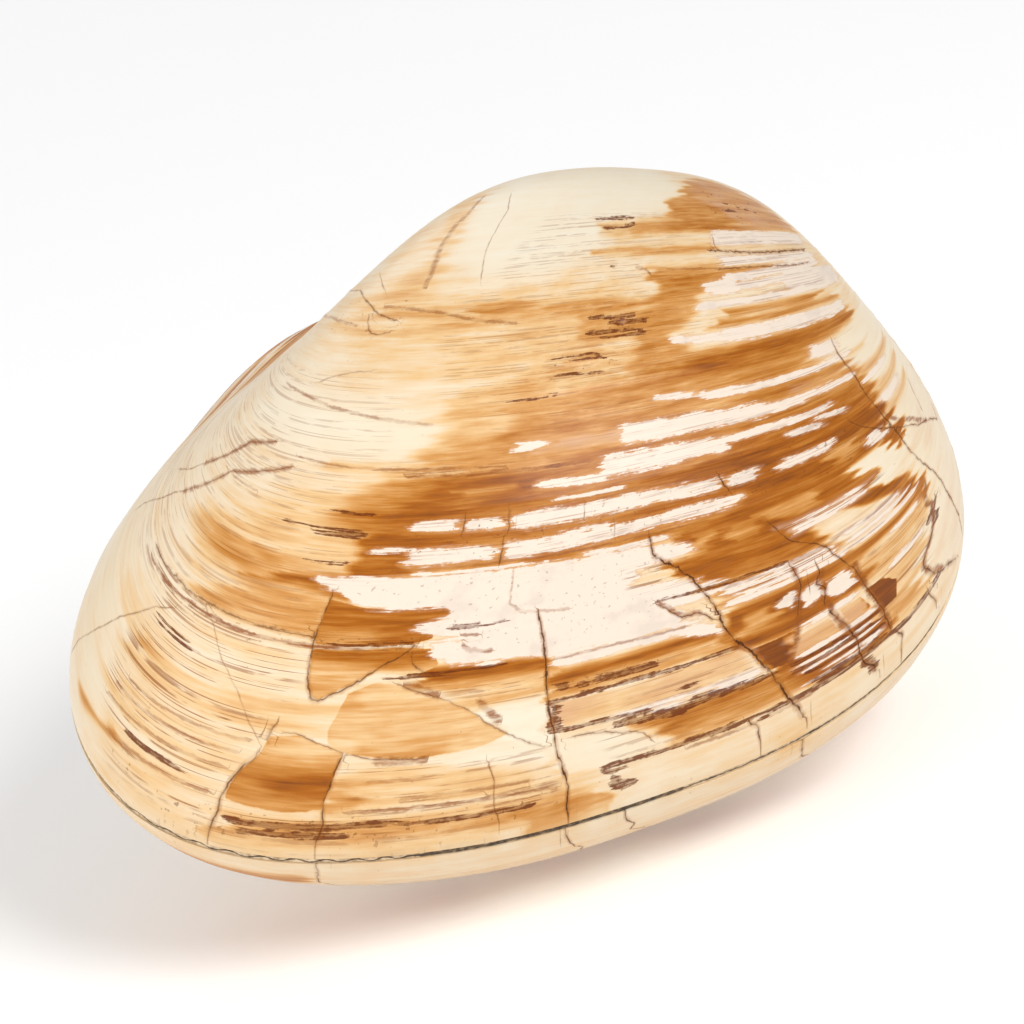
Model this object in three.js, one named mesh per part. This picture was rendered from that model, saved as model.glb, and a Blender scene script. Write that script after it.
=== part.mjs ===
// A fossil clam, polished, with both valves still closed on each other, lying as it settles on a table.
// Millimetres, +Z up. The shell is modelled in its own frame, where the beak is the origin, the hinge
// line runs along X, the ventral edge lies towards -Y and the seam between the valves is the XY plane.
// A group then leans the whole shell over onto the underside of its lower valve.
import * as THREE from 'three';
import { mergeVertices } from 'three/addons/utils/BufferGeometryUtils.js';

// Seam outline: how far the margin reaches from its middle, every 30 degrees counted from +X.
const MARGIN_CENTRE = new THREE.Vector2(-30, -48.5);
const MARGIN_REACH = [65, 66, 55, 42, 50.5, 44.5, 56, 61, 44.5, 38, 38, 48.5];

// Growth: a ring of growth g is the margin shrunk to g of its size and rolled about the hinge line
// by -ln(g) / ROLL_RATE radians, so every radial section of a valve is a logarithmic spiral. Near the
// beak the roll levels off at ROLL_LIMIT, which closes the beak onto the hinge line.
const ROLL_RATE = 0.75;
const ROLL_LIMIT = THREE.MathUtils.degToRad(110);
const BEAK_GROWTH = 0.03;

// The edge of each valve is worn round: it rises EDGE_RISE off the seam, steeply at first. Within
// about HINGE_REACH of the beak the edge stays sharp, and the valves close along the hinge.
const EDGE_RISE = 12;
const EDGE_POWER = 8;
const HINGE_REACH = 25;

// Seam: sediment fills a groove between the two edges, and the valves meet on flat lands inside it.
const GROOVE_HEIGHT = 1.2;
const GROOVE_REACH_IN = 0.92;
const LAND_GAP = 0.2;
const FILL_CLEARANCE = 0.15;
const FILL_RECESS = 0.3;

// Between the beaks the sediment stands out past the margin and closes the slit there.
const BEAK_PLUG = 2.4;
const BEAK_PLUG_SPAN = 7;

// How the shell lies: leaning towards its ventral edge and its short end, on a small worn flat.
const LEAN_VENTRAL = THREE.MathUtils.degToRad(29);
const LEAN_SHORT_END = THREE.MathUtils.degToRad(9);
const REST_FLAT_DEPTH = 0.5;

// Facets
const AROUND = 64;
const GROWTH_RINGS = 28;

const SHELL_CREAM = new THREE.Color(0xe6bd84);
const SEDIMENT_BROWN = new THREE.Color(0x6a5a49);

// Distance from the middle of the margin to its edge at an angle: a closed uniform cubic B-spline.
function marginReach(angle) {
  const count = MARGIN_REACH.length;
  const place = (angle / (2 * Math.PI)) * count;
  const first = Math.floor(place);
  const f = place - first;
  const weights = [
    (1 - f) ** 3 / 6,
    (3 * f ** 3 - 6 * f ** 2 + 4) / 6,
    (-3 * f ** 3 + 3 * f ** 2 + 3 * f + 1) / 6,
    f ** 3 / 6,
  ];
  const reachOf = (k) => MARGIN_REACH[(first - 1 + k + count) % count];
  return weights.reduce((sum, weight, k) => sum + weight * reachOf(k), 0);
}

// A point of the margin in the seam plane; inset moves it that share of the way to the middle.
function marginPoint(angle, inset = 0) {
  const reach = marginReach(angle) * (1 - inset);
  return new THREE.Vector2(Math.cos(angle), Math.sin(angle)).multiplyScalar(reach).add(MARGIN_CENTRE);
}

// How far a growth ring is rolled about the hinge line, from 0 at the margin.
function ringRoll(growth) {
  const free = -Math.log(growth) / ROLL_RATE;
  return free / (1 + (free / ROLL_LIMIT) ** 4) ** 0.25;
}

// A point on the outside of the upper valve.
function growthPoint(growth, angle) {
  const margin = marginPoint(angle);
  const roll = ringRoll(growth);
  const worn = margin.lengthSq() / (margin.lengthSq() + HINGE_REACH ** 2);
  const edge = worn * EDGE_RISE * Math.sqrt(Math.max(0, 1 - growth ** EDGE_POWER));
  return new THREE.Vector3(
    growth * margin.x,
    growth * margin.y * Math.cos(roll),
    growth * (edge - margin.y * Math.sin(roll)) + GROOVE_HEIGHT / 2,
  );
}

// A point on the underside of the upper valve, in the groove or on the land.
function undersidePoint(inset, height, angle) {
  const margin = marginPoint(angle, inset);
  return new THREE.Vector3(margin.x, margin.y, height);
}

// The rows of a valve from the beak out to the margin, then in under it: each gives a point at an angle.
function valveRows() {
  const rows = [];
  for (let i = 0; i <= GROWTH_RINGS; i += 1) {
    const along = (1 - Math.cos((Math.PI * i) / GROWTH_RINGS)) / 2;
    const growth = BEAK_GROWTH + (1 - BEAK_GROWTH) * along;
    rows.push((angle) => growthPoint(growth, angle));
  }
  const grooveWall = 1 - GROOVE_REACH_IN;
  rows.push((angle) => undersidePoint(grooveWall, GROOVE_HEIGHT / 2, angle));
  rows.push((angle) => undersidePoint(grooveWall, LAND_GAP / 2, angle));
  return rows;
}

// Middle of a ring of points, where the beak and the land close.
function ringMiddle(row) {
  const middle = new THREE.Vector3();
  for (let i = 0; i < AROUND; i += 1) middle.add(row((2 * Math.PI * i) / AROUND));
  return middle.divideScalar(AROUND);
}

// Which way is down, in the shell's frame.
const DOWN = new THREE.Vector3(Math.tan(LEAN_SHORT_END), -Math.tan(LEAN_VENTRAL), -1).normalize();

// Closes rows of points into one body on the grid of a sphere. Side is 1 above the seam and -1 below.
function closedBody(rows, side) {
  const geometry = new THREE.SphereGeometry(1, AROUND, rows.length + 1);
  const position = geometry.getAttribute('position');
  const poles = [ringMiddle(rows[0]), ringMiddle(rows[rows.length - 1])];
  for (let i = 0; i < position.count; i += 1) {
    const row = Math.floor(i / (AROUND + 1)) - 1;
    const turn = ((i % (AROUND + 1)) % AROUND) / AROUND;
    const angle = 2 * Math.PI * (side > 0 ? turn : (1 - turn) % 1);
    let point;
    if (row < 0) point = poles[0].clone();
    else if (row >= rows.length) point = poles[1].clone();
    else point = rows[row](angle);
    position.setXYZ(i, point.x, point.y, side * point.z);
  }
  geometry.deleteAttribute('normal');
  geometry.deleteAttribute('uv');
  return mergeVertices(geometry);
}

// Wears a flat on the lowest part of a body: what reaches past the flat's plane is pressed back to it.
function wearFlat(geometry) {
  const position = geometry.getAttribute('position');
  const points = Array.from({ length: position.count }, (_, i) =>
    new THREE.Vector3().fromBufferAttribute(position, i));
  const limit = Math.max(...points.map((p) => p.dot(DOWN))) - REST_FLAT_DEPTH;
  points.forEach((p, i) => {
    p.addScaledVector(DOWN, Math.min(0, limit - p.dot(DOWN)));
    position.setXYZ(i, p.x, p.y, p.z);
  });
  return geometry;
}

// The ring of sediment in the groove: a rectangular section carried round the margin.
function seamRing() {
  const half = GROOVE_HEIGHT / 2 - FILL_CLEARANCE;
  const innerInset = 1 - GROOVE_REACH_IN - 2 * FILL_CLEARANCE / Math.min(...MARGIN_REACH);
  const recess = (angle) =>
    FILL_RECESS - BEAK_PLUG * Math.exp(-marginPoint(angle).lengthSq() / BEAK_PLUG_SPAN ** 2);
  const section = [[0, -half], [0, half], [1, half], [1, -half]];
  const geometry = new THREE.TorusGeometry(1, 0.5, section.length, AROUND);
  const position = geometry.getAttribute('position');
  for (let i = 0; i < position.count; i += 1) {
    const [inward, height] = section[Math.floor(i / (AROUND + 1)) % section.length];
    const angle = (2 * Math.PI * ((i % (AROUND + 1)) % AROUND)) / AROUND;
    const inset = inward ? innerInset : recess(angle) / marginReach(angle);
    const point = undersidePoint(inset, height, angle);
    position.setXYZ(i, point.x, point.y, point.z);
  }
  geometry.deleteAttribute('normal');
  geometry.deleteAttribute('uv');
  return mergeVertices(geometry);
}

function polishedShell() {
  return new THREE.MeshStandardMaterial({ color: SHELL_CREAM, roughness: 0.3, metalness: 0 });
}

function sediment() {
  return new THREE.MeshStandardMaterial({ color: SEDIMENT_BROWN, roughness: 0.85, metalness: 0 });
}

function namedMesh(name, geometry, material) {
  geometry.computeVertexNormals();
  const mesh = new THREE.Mesh(geometry, material);
  mesh.name = name;
  return mesh;
}

const shell = new THREE.Group();
shell.add(
  namedMesh('upper_valve', closedBody(valveRows(), 1), polishedShell()),
  namedMesh('lower_valve', wearFlat(closedBody(valveRows(), -1)), polishedShell()),
  namedMesh('seam_fill', seamRing(), sediment()),
);
shell.quaternion.setFromUnitVectors(DOWN, new THREE.Vector3(0, 0, -1));

// The part's origin is under the middle of the shell's box, on the surface it lies on.
const clam = new THREE.Group();
clam.add(shell);
const box = new THREE.Box3().setFromObject(clam, true);
const middle = box.getCenter(new THREE.Vector3());
shell.position.set(-middle.x, -middle.y, -box.min.z);

export default clam;
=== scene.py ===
# %% [markdown]
# # A polished fossil clam
# The piece is a whole clam turned to stone: two valves closed on each other, with a thread of dark
# sediment caught in the seam. It was ground and polished, so the bands inside the shell show as
# cream, white and amber streaks that follow the growth lines. This lesson grows both valves from one
# growth law, paints the bands in the shell's own coordinates, and lights it like a specimen photo.

import math

import bmesh
import bpy
import numpy as np
from mathutils import Matrix, Vector, noise


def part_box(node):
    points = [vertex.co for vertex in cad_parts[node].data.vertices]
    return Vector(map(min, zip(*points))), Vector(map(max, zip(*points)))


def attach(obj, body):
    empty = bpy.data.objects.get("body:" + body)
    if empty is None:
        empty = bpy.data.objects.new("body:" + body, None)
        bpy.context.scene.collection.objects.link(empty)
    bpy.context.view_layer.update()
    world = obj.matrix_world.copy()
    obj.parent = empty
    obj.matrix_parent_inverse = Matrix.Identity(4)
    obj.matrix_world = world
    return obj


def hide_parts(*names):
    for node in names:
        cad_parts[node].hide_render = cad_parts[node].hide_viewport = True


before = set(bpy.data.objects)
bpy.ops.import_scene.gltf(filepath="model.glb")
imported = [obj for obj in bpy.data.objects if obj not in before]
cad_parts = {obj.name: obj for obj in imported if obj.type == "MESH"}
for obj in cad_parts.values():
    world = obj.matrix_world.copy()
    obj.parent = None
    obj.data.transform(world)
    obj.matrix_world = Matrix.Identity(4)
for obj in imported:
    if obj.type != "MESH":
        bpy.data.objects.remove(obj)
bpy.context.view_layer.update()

# %% [markdown]
# ## The growth law
# A clam grows by adding rings to its edge, and every ring is a larger copy of the last, rolled a
# little further about the hinge. So one outline, one roll and one size say where any point of the
# shell is. Two numbers then name a place on it: the angle round the margin, in degrees from the
# hinge direction, and the growth, which is 1 at the margin and falls towards the beak. Modelling
# by hand would also work, but the markings follow the growth lines, and these two numbers are
# exactly what they need.

# %% Growth law, in millimetres
MM = 0.001
MARGIN_CENTRE = (-30.0, -48.5)
MARGIN_REACH = np.array([65, 66, 55, 42, 50.5, 44.5, 56, 61, 44.5, 38, 38, 48.5])
ROLL_RATE = 0.75
ROLL_LIMIT = math.radians(110)
BEAK_GROWTH = 0.03
EDGE_RISE = 12.0
EDGE_POWER = 8.0
HINGE_REACH = 25.0
GROOVE_HEIGHT = 1.2


def margin_reach(angle):
    place = angle / 360 * len(MARGIN_REACH)
    first = np.floor(place).astype(int)
    f = place - first
    weights = (
        (1 - f) ** 3 / 6,
        (3 * f**3 - 6 * f**2 + 4) / 6,
        (-3 * f**3 + 3 * f**2 + 3 * f + 1) / 6,
        f**3 / 6,
    )
    count = len(MARGIN_REACH)
    return sum(weight * MARGIN_REACH[(first - 1 + k) % count] for k, weight in enumerate(weights))


def margin_point(angle, inset=0.0):
    reach = margin_reach(angle) * (1 - inset)
    turn = np.radians(angle)
    return MARGIN_CENTRE[0] + reach * np.cos(turn), MARGIN_CENTRE[1] + reach * np.sin(turn)


def growth_point(angle, growth):
    x, y = margin_point(angle)
    free = -np.log(growth) / ROLL_RATE
    roll = free / (1 + (free / ROLL_LIMIT) ** 4) ** 0.25
    worn = (x * x + y * y) / (x * x + y * y + HINGE_REACH**2)
    edge = worn * EDGE_RISE * np.sqrt(np.maximum(0, 1 - growth**EDGE_POWER))
    height = growth * (edge - y * np.sin(roll)) + GROOVE_HEIGHT / 2
    return np.stack([growth * x, growth * y * np.cos(roll), height], axis=-1)


# %% [markdown]
# ## How the shell lies
# A closed clam is too round to balance on its edge, so it leans over until its centre of mass is
# over the spot that it touches. The lean is the same as in the solids. The shift is read from the
# frame: the grown valve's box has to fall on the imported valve's box.

# %% Lay the shell down
LEAN_VENTRAL = math.radians(29)
LEAN_SHORT_END = math.radians(9)
DOWN = Vector((math.tan(LEAN_SHORT_END), -math.tan(LEAN_VENTRAL), -1)).normalized()
LIE = np.array(DOWN.rotation_difference(Vector((0, 0, -1))).to_matrix())

test_angle, test_growth = np.meshgrid(np.arange(0, 360, 1.0), np.linspace(BEAK_GROWTH, 1, 200))
test_points = growth_point(test_angle.ravel(), test_growth.ravel()) @ LIE.T * MM
packed_low, packed_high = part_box("upper_valve")
packed_middle = np.array((packed_low + packed_high) / 2)
SHIFT = packed_middle - (test_points.min(0) + test_points.max(0)) / 2
print("shift of the beak, mm", np.round(SHIFT / MM, 2))


def lie_down(points, side=1):
    return (points * np.array([1, 1, side])) @ LIE.T * MM + SHIFT


# %% [markdown]
# ## Camera
# The photograph looks down on the upper valve from in front of the ventral edge. The camera is given
# in the shell's own frame and then laid down with it, so it keeps its view of the shell. A long lens
# far away keeps the growth rings almost in parallel.

# %% Camera
CAMERA_ELEVATION = math.radians(51.3)
CAMERA_AZIMUTH = math.radians(-7.51)
CAMERA_DISTANCE = 600.0
AIM_POINT = np.array([-26.0, -35.6, 0.0])
PIXELS_PER_MM = 7.526
PICTURE_SIDE = 1024
SENSOR = 36.0

back = np.array([
    math.sin(CAMERA_AZIMUTH) * math.cos(CAMERA_ELEVATION),
    -math.cos(CAMERA_AZIMUTH) * math.cos(CAMERA_ELEVATION),
    math.sin(CAMERA_ELEVATION),
])
right = np.array([math.cos(CAMERA_AZIMUTH), math.sin(CAMERA_AZIMUTH), 0.0])
turn = LIE @ np.stack([right, np.cross(back, right), back], axis=1)
camera = bpy.data.objects.new("camera", bpy.data.cameras.new("camera"))
camera.data.sensor_width = SENSOR
camera.data.lens = PIXELS_PER_MM * CAMERA_DISTANCE / PICTURE_SIDE * SENSOR
camera.matrix_world = Matrix.Translation(lie_down(AIM_POINT + CAMERA_DISTANCE * back)) @ Matrix(turn).to_4x4()
camera.data.clip_start = 0.05
camera.data.clip_end = 20.0
bpy.context.scene.collection.objects.link(camera)
bpy.context.scene.camera = camera
print("lens", round(camera.data.lens, 1), "mm, at", tuple(round(x, 3) for x in camera.location))

# %% [markdown]
# ## Marking helpers
# The markings are named strokes in angle and growth. Each helper gives a mask over the vertices,
# 1 inside a mark and 0 outside, with a soft edge. The shader later cuts these soft masks with
# noise, which is why a few hundred strokes can look like mineral bands with ragged ends.

# %% Masks of bands, zones and lines
ANGLE_MM = 0.93
GROWTH_MM = 170.0
BAND_END = 5.0


def soft_step(x):
    x = np.clip(x, 0, 1)
    return x * x * (3 - 2 * x)


def band_mask(angle, growth, start, end, growth_start, growth_end, half, end_blur=BAND_END):
    along = np.clip((angle - start) / (end - start), 0, 1)
    middle = growth_start + (growth_end - growth_start) * along
    blur = min(1.0, 0.9 * half * GROWTH_MM)
    inside = soft_step(0.5 + (half - np.abs(growth - middle)) * GROWTH_MM / (2 * blur))
    ends = soft_step(0.5 + (angle - start) / end_blur) * soft_step(0.5 + (end - angle) / end_blur)
    return inside * ends


def within(angle, growth, corners, reach):
    low, high = np.min(corners, axis=0), np.max(corners, axis=0)
    beside = np.abs(angle - (low[0] + high[0]) / 2) < (high[0] - low[0]) / 2 + reach / ANGLE_MM
    across = np.abs(growth - (low[1] + high[1]) / 2) < (high[1] - low[1]) / 2 + reach / GROWTH_MM
    return np.flatnonzero(beside & across)


def nearest_edge(angle, growth, corners):
    place = np.stack([angle * ANGLE_MM, growth * GROWTH_MM], axis=1)
    path = np.array(corners, float) * (ANGLE_MM, GROWTH_MM)
    best = np.full(len(place), 1e9)
    side = np.ones(len(place))
    for a, b in zip(path[:-1], path[1:]):
        ab = b - a
        t = np.clip(((place - a) @ ab) / (ab @ ab), 0, 1)
        away = place - (a + t[:, None] * ab)
        distance = np.hypot(away[:, 0], away[:, 1])
        cross = ab[0] * (place[:, 1] - a[1]) - ab[1] * (place[:, 0] - a[0])
        closer = distance < best
        best = np.where(closer, distance, best)
        side = np.where(closer, np.where(cross < 0, -1.0, 1.0), side)
    return best, side


def depth_inside(angle, growth, corners, reach):
    depth = np.full(len(angle), -reach)
    near = within(angle, growth, corners, reach)
    a, g = angle[near], growth[near]
    ring = list(corners) + [corners[0]]
    distance, _ = nearest_edge(a, g, ring)
    inside = np.zeros(len(near), bool)
    for (a0, g0), (a1, g1) in zip(ring[:-1], ring[1:]):
        if g0 == g1:
            continue
        crosses = (g < g0) != (g < g1)
        inside ^= crosses & (a < a0 + (a1 - a0) * (g - g0) / (g1 - g0))
    depth[near] = np.clip(np.where(inside, distance, -distance), -reach, reach)
    return depth


def zone_mask(angle, growth, corners, soft):
    return soft_step(0.5 + depth_inside(angle, growth, corners, soft) / (2 * soft))


def line_fields(angle, growth, lines, reach):
    best = np.full(len(angle), 1e9)
    side = np.full(len(angle), 9.0)
    strength = np.zeros(len(angle))
    for width, power, corners in lines:
        near = within(angle, growth, corners, reach)
        distance, sign = nearest_edge(angle[near], growth[near], corners)
        closer = distance < best[near]
        hit = near[closer]
        best[hit] = distance[closer]
        side[hit] = sign[closer] * distance[closer] / width
        strength[hit] = power
    near = strength * (1 - soft_step((best - 0.5 * reach) / (0.5 * reach)))
    return side, near


# %% [markdown]
# ## The ground tone
# Tone is one scale for the mineral's colour: below 0 ivory, 0 cream, 0.5 tan, 1 amber. Large zones
# are laid over each other like washes, the palest first, each with its own softness in millimetres.

# %% Washes of tone: value, softness in mm, corners as (angle, growth)
GROUND_TONE = 0.10
WASHES = [
    (-0.3, 5.0, [(226, .33), (300, .33), (312, .40), (300, .45), (285, .46), (272, .50), (255, .525),
                  (238, .53), (228, .50), (225, .42)]),
    (0.0, 5.0, [(150, .60), (196, .60), (214, .62), (232, .665), (233, .69), (212, .70), (203, .75),
                 (196, .80), (205, .84), (193, .90), (200, .99), (150, .99)]),
    (-0.3, 4.0, [(196, .655), (214, .655), (234, .672), (232, .69), (208, .692), (197, .685)]),
    (0.28, 3.0, [(214, .38), (224, .38), (225, .43), (224, .47), (225, .51), (226, .535), (214, .53)]),
    (0.26, 4.0, [(204, .53), (222, .53), (250, .545), (290, .55), (290, .61), (262, .635), (240, .625),
                (222, .60), (205, .58)]),
    (0.62, 1.2, [(238, .555), (252, .557), (270, .563), (300, .572), (300, .580), (270, .573),
                 (250, .567), (238, .567)]),
    (0.38, 1.2, [(214, .545), (226, .556), (238, .572), (252, .572), (240, .58), (226, .572), (214, .56)]),
    (0.5, 1.4, [(268, .574), (292, .578), (295, .59), (294, .607), (272, .604)]),
    (0.48, 1.0, [(262, .618), (276, .616), (281, .624), (281, .636), (266, .64)]),
    (0.3, 4.0, [(214, .745), (232, .73), (232, .80), (216, .82), (203, .815), (197, .79), (205, .78)]),
    (0.5, 2.0, [(199, .788), (206, .782), (214, .784), (216, .80), (212, .81), (204, .808)]),
    (0.36, 3.0, [(240, .645), (262, .63), (292, .61), (292, .65), (262, .66), (250, .685), (236, .70)]),
    (0.5, 1.0, [(272, .502), (300, .504), (318, .507), (318, .517), (290, .514), (274, .511)]),
    (0.6, 1.6, [(294, .53), (316, .535), (336, .545), (330, .556), (312, .565), (306, .59), (300, .62),
                (299, .65), (286, .65), (289, .62), (291, .575), (296, .55)]),
    (0.6, 1.2, [(311, .415), (312, .40), (318, .372), (322, .352), (332, .36), (342, .40), (350, .44),
                (352, .484), (330, .487), (318, .487), (300, .484), (288, .486), (290, .47), (300, .46),
                (304, .447), (302, .432), (306, .424)]),
    (0.78, 1.4, [(308, .462), (326, .466), (325, .48), (306, .479)]),
    (0.4, 2.2, [(272, .462), (290, .462), (300, .462), (300, .484), (284, .486), (274, .484)]),
    (0.75, 0.9, [(316, .592), (346, .596), (345, .602), (316, .60)]),
    (0.8, 0.9, [(312, .603), (352, .606), (353, .613), (312, .611)]),
    (0.62, 2.2, [(300, .612), (306, .632), (350, .634), (353, .658), (340, .664), (336, .674), (345, .69),
                 (347, .73), (351, .79), (349, .803), (262, .803), (229, .803), (228, .76), (225, .745),
                 (232, .72), (236, .70), (250, .686), (254, .664), (276, .653), (296, .648), (294, .63)]),
    (0.85, 1.2, [(300, .637), (352, .636), (352, .655), (320, .66), (304, .655)]),
    (0.42, 1.2, [(218, .704), (236, .7045), (275, .7075), (275, .714), (236, .7125), (218, .709)]),
    (0.95, 1.8, [(240, .722), (252, .716), (263, .719), (279, .716), (280, .729), (266, .731), (262, .757),
                 (240, .757), (233, .752), (236, .737)]),
    (0.3, 0.6, [(243, .7305), (257, .7295), (256, .7325), (244, .7335)]),
    (0.78, 1.4, [(262, .709), (300, .712), (345, .718), (350, .79), (349, .803), (300, .803), (262, .803)]),
    (0.95, 1.2, [(276, .740), (312, .741), (312, .757), (298, .757), (290, .751), (276, .752)]),
    (1.0, 1.4, [(311, .733), (345, .731), (349, .76), (351, .79), (346, .803), (314, .803), (312, .76)]),
    (0.5, 0.9, [(333, .776), (341, .775), (342, .79), (338, .796), (333, .793)]),
    (1.0, 0.9, [(228, .766), (262, .768), (262, .778), (238, .778), (238, .797), (229, .80)]),
    (0.85, 0.8, [(262, .771), (310, .772), (311, .779), (262, .779)]),
    (0.9, 0.8, [(215, .814), (218.6, .803), (226, .80), (232, .80), (231, .822), (227, .815), (222, .81)]),
    (0.5, 1.4, [(208, .843), (213, .828), (219, .813), (228, .818), (228, .852), (214, .846)]),
    (1.0, 0.8, [(246, .875), (256, .876), (268, .878), (269, .889), (246, .888)]),
    (0.62, 1.4, [(245, .888), (269.5, .888), (270, .898), (252, .898)]),
    (0.36, 1.4, [(250, .898), (270, .898), (270, .911), (256, .911)]),
    (-0.3, 1.0, [(256, .912), (270, .912), (273, .95), (266, .945), (262, .935)]),
    (-0.25, 1.2, [(244, .946), (262, .944), (273, .952), (272, .962), (258, .955)]),
    (0.28, 2.0, [(236, .95), (256, .955), (270, .966), (270, .975), (236, .977)]),
    (0.55, 1.2, [(235, .958), (239, .963), (239, .975), (235, .978)]),
    (0.45, 1.0, [(222, .984), (274, .982), (276, .997), (222, .998)]),
    (0.16, 2.0, [(200, .935), (222, .93), (221, .96), (221, .99), (205, .985), (199, .965)]),
    (0.6, 0.8, [(196, .985), (203, .9735), (204, .977), (198, .989)]),
    (0.35, 1.2, [(203, .903), (215, .904), (226, .902), (232, .905), (222, .914), (204, .913)]),
    (0.3, 1.0, [(197, .918), (226, .917), (232, .919), (224, .923), (198, .925)]),
    (1.0, 0.8, [(269.8, .8935), (296, .8945), (306, .897), (309, .906), (290, .9055), (270, .9035)]),
    (0.5, 0.6, [(270, .904), (308, .906), (313, .916), (270, .915)]),
    (-0.1, 0.6, [(273, .946), (280, .949), (290, .96), (294, .972), (284, .975), (276, .972)]),
    (1.0, 0.8, [(288, .952), (318, .953), (320, .962), (296, .964)]),
    (0.68, 0.8, [(294, .963), (320, .962), (322, .974), (298, .976)]),
    (1.0, 0.9, [(299, .803), (330, .798), (333, .826), (326, .838), (330, .86), (316, .861), (305, .853),
                (299, .846), (297, .828), (304, .823), (299, .815)]),
    (0.6, 0.8, [(303, .808), (308, .808), (308.5, .822), (304, .822)]),
    (0.58, 0.8, [(312, .812), (317, .812), (317.5, .824), (313, .825)]),
    (0.5, 0.7, [(317, .807), (328, .805), (328, .82), (324, .823), (320, .82)]),
    (0.05, 1.6, [(332, .84), (345, .855), (352, .885), (333, .885), (329, .862)]),
    (0.62, 1.0, [(304, .857), (329, .861), (334, .884), (308, .885)]),
    (0.95, 0.7, [(307, .886), (320, .885), (350, .885), (352, .893), (336, .896), (336, .92), (323, .925),
                 (312, .922), (309, .905)]),
    (0.45, 0.8, [(312, .895), (318, .893), (319, .908), (314, .912)]),
    (0.95, 0.8, [(319, .945), (336, .945), (338, .978), (322, .974), (318, .962)]),
    (0.34, 1.2, [(335, .897), (349, .896), (350, .905), (348, .92), (350, .94), (347, .96), (350, .978),
                 (338, .976), (337, .955), (341, .945), (339, .928), (335, .922)]),
    (-0.05, 1.2, [(351, .79), (362, .70), (372, .80), (368, .99), (352, .99), (347, .965), (346, .953),
                 (353, .92), (350, .86), (346, .83)]),
    (-0.2, 1.0, [(337, .806), (346, .806), (350, .84), (347, .85), (342, .835)]),
    (0.95, 0.7, [(327, .80), (334, .80), (339, .818), (343, .838), (346, .855), (350, .875), (353, .90),
                 (350, .902), (345, .875), (341, .86), (337, .845), (332, .832), (328, .82)]),
    (1.05, 0.6, [(340, .842), (345, .845), (345.4, .857), (341.6, .858)]),
    (1.0, 0.6, [(345.6, .792), (349.6, .796), (352, .81), (350.6, .83), (348.6, .828), (346.6, .812)]),
    (-0.15, 2.0, [(336, .662), (372, .64), (372, .80), (352, .80), (347, .73), (344, .69)]),
    (0.42, 1.4, [(346, .687), (355, .688), (354, .692), (346, .692)]),
    (0.42, 1.4, [(346, .714), (363, .716), (364, .727), (346, .725)]),
    (0.42, 1.4, [(347, .742), (363, .744), (364, .758), (348, .759)]),
    (0.42, 1.4, [(350, .776), (362, .778), (362, .79), (351, .79)]),
    (0.55, 0.8, [(268, .986), (276, .9845), (284, .989), (285, 1.0), (267, 1.0)]),
    (0.1, 2.0, [(150, .40), (215, .40), (222, .50), (205, .53), (170, .55), (150, .58)]),
    (0.45, 2.2, [(150, .50), (166, .48), (166, .535), (158, .58), (150, .60)]),
]
print(len(WASHES), "washes")

# %% [markdown]
# ## Broken plates
# Near the edge the shell broke into plates that healed with different stains, so the tone jumps at
# their edges. Such a jump is sharper than the mesh, so the plates have a tone of their own, and the
# shader changes from one to the other where the signed distance to the plate's outline is zero.

# %% Plates: outlines, and the washes inside them
PLATES = [
    [(234.5, .892), (238, .884), (241.6, .886), (246, .8935), (251, .903), (255, .912), (259, .925),
     (263, .935), (258, .941), (250, .9435), (243, .943), (236, .937), (233.4, .93), (233, .92)],
    [(225.5, .928), (229, .925), (232.5, .93), (236, .937), (235.6, .948), (235.2, .96), (234.8, .976),
     (229, .979), (222, .976), (222.2, .966), (223, .956), (224.6, .944)],
    [(227.5, .818), (233, .824), (240, .826), (247, .823), (249, .832), (245, .84), (246, .851),
     (243, .8545), (227.3, .855)],
    [(227.4, .859), (241, .857), (246, .86), (248, .873), (244, .881), (238, .876), (233.5, .888),
     (230, .899), (228.5, .89)],
    [(271.5, .9195), (290, .9198), (311, .9205), (314, .932), (315, .939), (300, .9405), (285, .939),
     (274.5, .939), (272.6, .93)],
    [(311.5, .925), (321.6, .925), (322, .931), (319.6, .949), (316, .948), (314, .937)],
    [(334.6, .927), (338, .928), (340.6, .94), (340, .954), (337, .955), (336, .94)],
    [(321.6, .931), (327.6, .9305), (329, .945), (320.4, .9465)],
    [(329.4, .929), (333.6, .929), (335, .944), (331, .9445)],
]
PLATE_WASHES = [
    (0.32, 2.0, [(230, .88), (266, .88), (266, .946), (230, .946)]),
    (0.55, 1.5, [(238, .932), (252, .936), (250, .946), (236, .946)]),
    (0.42, 0.8, [(218, .922), (231, .922), (236, .935), (236.5, .98), (218, .98)]),
    (0.75, 1.8, [(221, .951), (229, .945), (236, .945), (237, .98), (221, .98)]),
    (1.05, 1.6, [(226.5, .960), (231, .951), (237, .953), (237, .972), (229, .970)]),
    (0.5, 0.8, [(220, .9735), (237, .973), (237, .985), (220, .985)]),
    (0.95, 1.0, [(226, .815), (252, .815), (252, .857), (226, .857)]),
    (0.68, 1.4, [(226, .84), (236, .842), (238, .852), (226, .857)]),
    (0.95, 1.0, [(226, .857), (250, .856), (250, .872), (240, .874), (226, .868)]),
    (0.5, 1.2, [(226, .870), (237, .872), (236, .902), (226, .902)]),
    (0.28, 1.0, [(268, .916), (310, .916), (313, .942), (268, .942)]),
    (1.3, 0.4, [(311.6, .922), (322, .922), (321, .951), (316.4, .951), (314.6, .938), (313.6, .93)]),
    (1.3, 0.5, [(334.2, .924), (343, .924), (343, .958), (334.2, .958)]),
    (0.4, 0.4, [(320, .927), (334, .927), (335.4, .948), (319.8, .949)]),
]
print(len(PLATES), "plates")

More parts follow.
